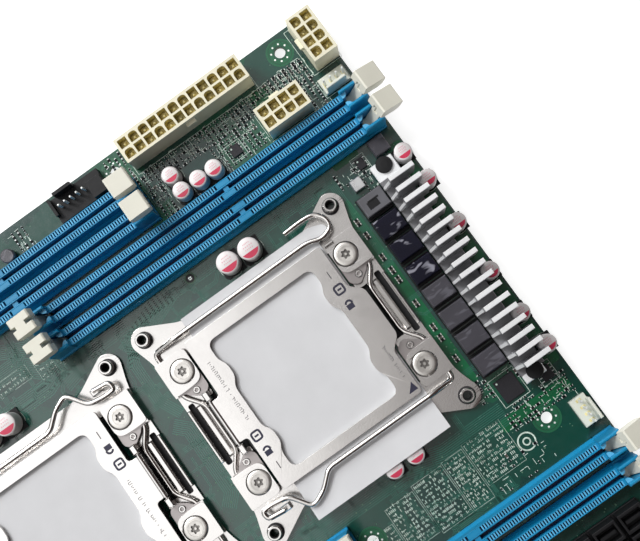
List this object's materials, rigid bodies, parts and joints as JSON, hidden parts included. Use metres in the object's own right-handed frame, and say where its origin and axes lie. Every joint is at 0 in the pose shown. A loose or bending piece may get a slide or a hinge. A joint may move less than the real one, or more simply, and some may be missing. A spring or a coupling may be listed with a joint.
{
  "type": "server mainboard",
  "caption": "ATX server mainboard with processor sockets under lever-held load plates, latching memory slots, card slots, finned heatsinks and power sockets.",
  "frame": {"origin": "centre of the bare board's underside", "axes": "+X along the memory slots towards the processor power side, +Y towards the edge with the main power socket, +Z away from the component side"},
  "size_m": [0.2662, 0.3048, 0.0324],
  "materials": {
    "solder_mask": "satin green solder mask",
    "black_plastic": "moulded black",
    "nickel_plate": "nickel plated stamping",
    "dark_steel": "dark plated steel",
    "cover_card": "matte white card",
    "lever_wire": "bright nickel wire",
    "blue_plastic": "moulded blue",
    "ivory_plastic": "moulded ivory",
    "cream_plastic": "moulded cream nylon",
    "fin_aluminium": "extruded bare metal",
    "cell_steel": "bright can",
    "port_shell": "tinned shell",
    "white_plastic": "moulded white"
  },
  "bodies": {
    "mainboard": {"board": "solder_mask", "socket_housing_1": "black_plastic", "socket_frame_1": "nickel_plate", "back_plate_1": "dark_steel", "cover_sheet_1": "cover_card", "socket_housing_2": "black_plastic", "socket_frame_2": "nickel_plate", "back_plate_2": "dark_steel", "cover_sheet_2": "cover_card", "memory_slot_a1": "blue_plastic", "memory_slot_a2": "blue_plastic", "memory_slot_b1": "blue_plastic", "memory_slot_b2": "blue_plastic", "memory_slot_c1": "blue_plastic", "memory_slot_c2": "blue_plastic", "memory_slot_d1": "blue_plastic", "memory_slot_d2": "blue_plastic", "atx_power_socket": "cream_plastic", "cpu_power_socket_1": "cream_plastic", "cpu_power_socket_2": "cream_plastic", "regulator_heatsink_1": "fin_aluminium", "regulator_heatsink_2": "fin_aluminium", "chipset_heatsink": "fin_aluminium", "card_slot_1": "black_plastic", "card_slot_2": "black_plastic", "card_slot_3": "black_plastic", "card_slot_4": "black_plastic", "card_slot_5": "black_plastic", "cell_holder": "black_plastic", "coin_cell": "cell_steel", "video_socket": "port_shell", "usb_stack": "port_shell", "network_stack_1": "port_shell", "network_stack_2": "port_shell", "fan_header_1": "white_plastic", "fan_header_2": "white_plastic", "signal_header": "black_plastic", "drive_ports": "black_plastic"},
    "load_plate_1": {"load_plate_1": "nickel_plate"},
    "hinge_lever_1": {"hinge_lever_1": "lever_wire"},
    "active_lever_1": {"active_lever_1": "lever_wire"},
    "load_plate_2": {"load_plate_2": "nickel_plate"},
    "hinge_lever_2": {"hinge_lever_2": "lever_wire"},
    "active_lever_2": {"active_lever_2": "lever_wire"},
    "latch_a1_left": {"latch_a1_left": "ivory_plastic"},
    "latch_a1_right": {"latch_a1_right": "ivory_plastic"},
    "latch_a2_left": {"latch_a2_left": "ivory_plastic"},
    "latch_a2_right": {"latch_a2_right": "ivory_plastic"},
    "latch_b1_left": {"latch_b1_left": "ivory_plastic"},
    "latch_b1_right": {"latch_b1_right": "ivory_plastic"},
    "latch_b2_left": {"latch_b2_left": "ivory_plastic"},
    "latch_b2_right": {"latch_b2_right": "ivory_plastic"},
    "latch_c1_left": {"latch_c1_left": "ivory_plastic"},
    "latch_c1_right": {"latch_c1_right": "ivory_plastic"},
    "latch_c2_left": {"latch_c2_left": "ivory_plastic"},
    "latch_c2_right": {"latch_c2_right": "ivory_plastic"},
    "latch_d1_left": {"latch_d1_left": "ivory_plastic"},
    "latch_d1_right": {"latch_d1_right": "ivory_plastic"},
    "latch_d2_left": {"latch_d2_left": "ivory_plastic"},
    "latch_d2_right": {"latch_d2_right": "ivory_plastic"}
  },
  "joints": [
    {"name": "load_plate_1_hinge", "type": "hinge", "parent": "mainboard", "child": "load_plate_1", "pos_m": [0.0204, 0.0503, 0.0079], "axis": [0, -1, 0], "range_deg": [0, 97]},
    {"name": "hinge_lever_1_axle", "type": "hinge", "parent": "mainboard", "child": "hinge_lever_1", "pos_m": [0.0134, 0.0503, 0.00465], "axis": [0, -1, 0], "range_deg": [0, 130]},
    {"name": "active_lever_1_axle", "type": "hinge", "parent": "mainboard", "child": "active_lever_1", "pos_m": [0.0926, 0.0503, 0.00465], "axis": [0, 1, 0], "range_deg": [0, 112]},
    {"name": "load_plate_2_hinge", "type": "hinge", "parent": "mainboard", "child": "load_plate_2", "pos_m": [-0.0103, 0.05, 0.0079], "axis": [0, 1, 0], "range_deg": [0, 97]},
    {"name": "hinge_lever_2_axle", "type": "hinge", "parent": "mainboard", "child": "hinge_lever_2", "pos_m": [-0.0033, 0.05, 0.00465], "axis": [0, 1, 0], "range_deg": [0, 130]},
    {"name": "active_lever_2_axle", "type": "hinge", "parent": "mainboard", "child": "active_lever_2", "pos_m": [-0.0825, 0.05, 0.00465], "axis": [0, -1, 0], "range_deg": [0, 112]},
    {"name": "latch_a1_left_pivot", "type": "hinge", "parent": "mainboard", "child": "latch_a1_left", "pos_m": [-0.0113, 0.1158, 0.0048], "axis": [0, -1, 0], "range_deg": [-6, 20]},
    {"name": "latch_a1_right_pivot", "type": "hinge", "parent": "mainboard", "child": "latch_a1_right", "pos_m": [0.1215, 0.1158, 0.0048], "axis": [0, 1, 0], "range_deg": [-20, 6]},
    {"name": "latch_a2_left_pivot", "type": "hinge", "parent": "mainboard", "child": "latch_a2_left", "pos_m": [-0.0113, 0.1059, 0.0048], "axis": [0, -1, 0], "range_deg": [-6, 20]},
    {"name": "latch_a2_right_pivot", "type": "hinge", "parent": "mainboard", "child": "latch_a2_right", "pos_m": [0.1215, 0.1059, 0.0048], "axis": [0, 1, 0], "range_deg": [-20, 6]},
    {"name": "latch_b1_left_pivot", "type": "hinge", "parent": "mainboard", "child": "latch_b1_left", "pos_m": [-0.0944, 0.1359, 0.0048], "axis": [0, -1, 0], "range_deg": [0, 26]},
    {"name": "latch_b1_right_pivot", "type": "hinge", "parent": "mainboard", "child": "latch_b1_right", "pos_m": [0.0384, 0.1359, 0.0048], "axis": [0, 1, 0], "range_deg": [0, 26]},
    {"name": "latch_b2_left_pivot", "type": "hinge", "parent": "mainboard", "child": "latch_b2_left", "pos_m": [-0.0944, 0.1263, 0.0048], "axis": [0, -1, 0], "range_deg": [0, 26]},
    {"name": "latch_b2_right_pivot", "type": "hinge", "parent": "mainboard", "child": "latch_b2_right", "pos_m": [0.0384, 0.1263, 0.0048], "axis": [0, 1, 0], "range_deg": [0, 26]},
    {"name": "latch_c1_left_pivot", "type": "hinge", "parent": "mainboard", "child": "latch_c1_left", "pos_m": [-0.0106, -0.0297, 0.0048], "axis": [0, -1, 0], "range_deg": [0, 26]},
    {"name": "latch_c1_right_pivot", "type": "hinge", "parent": "mainboard", "child": "latch_c1_right", "pos_m": [0.1222, -0.0297, 0.0048], "axis": [0, 1, 0], "range_deg": [-20, 6]},
    {"name": "latch_c2_left_pivot", "type": "hinge", "parent": "mainboard", "child": "latch_c2_left", "pos_m": [-0.0106, -0.03985, 0.0048], "axis": [0, -1, 0], "range_deg": [0, 26]},
    {"name": "latch_c2_right_pivot", "type": "hinge", "parent": "mainboard", "child": "latch_c2_right", "pos_m": [0.1222, -0.03985, 0.0048], "axis": [0, 1, 0], "range_deg": [-20, 6]},
    {"name": "latch_d1_left_pivot", "type": "hinge", "parent": "mainboard", "child": "latch_d1_left", "pos_m": [-0.103, -0.0064, 0.0048], "axis": [0, -1, 0], "range_deg": [0, 26]},
    {"name": "latch_d1_right_pivot", "type": "hinge", "parent": "mainboard", "child": "latch_d1_right", "pos_m": [0.0298, -0.0064, 0.0048], "axis": [0, 1, 0], "range_deg": [0, 26]},
    {"name": "latch_d2_left_pivot", "type": "hinge", "parent": "mainboard", "child": "latch_d2_left", "pos_m": [-0.103, -0.0165, 0.0048], "axis": [0, -1, 0], "range_deg": [0, 26]},
    {"name": "latch_d2_right_pivot", "type": "hinge", "parent": "mainboard", "child": "latch_d2_right", "pos_m": [0.0298, -0.0165, 0.0048], "axis": [0, 1, 0], "range_deg": [0, 26]}
  ]
}
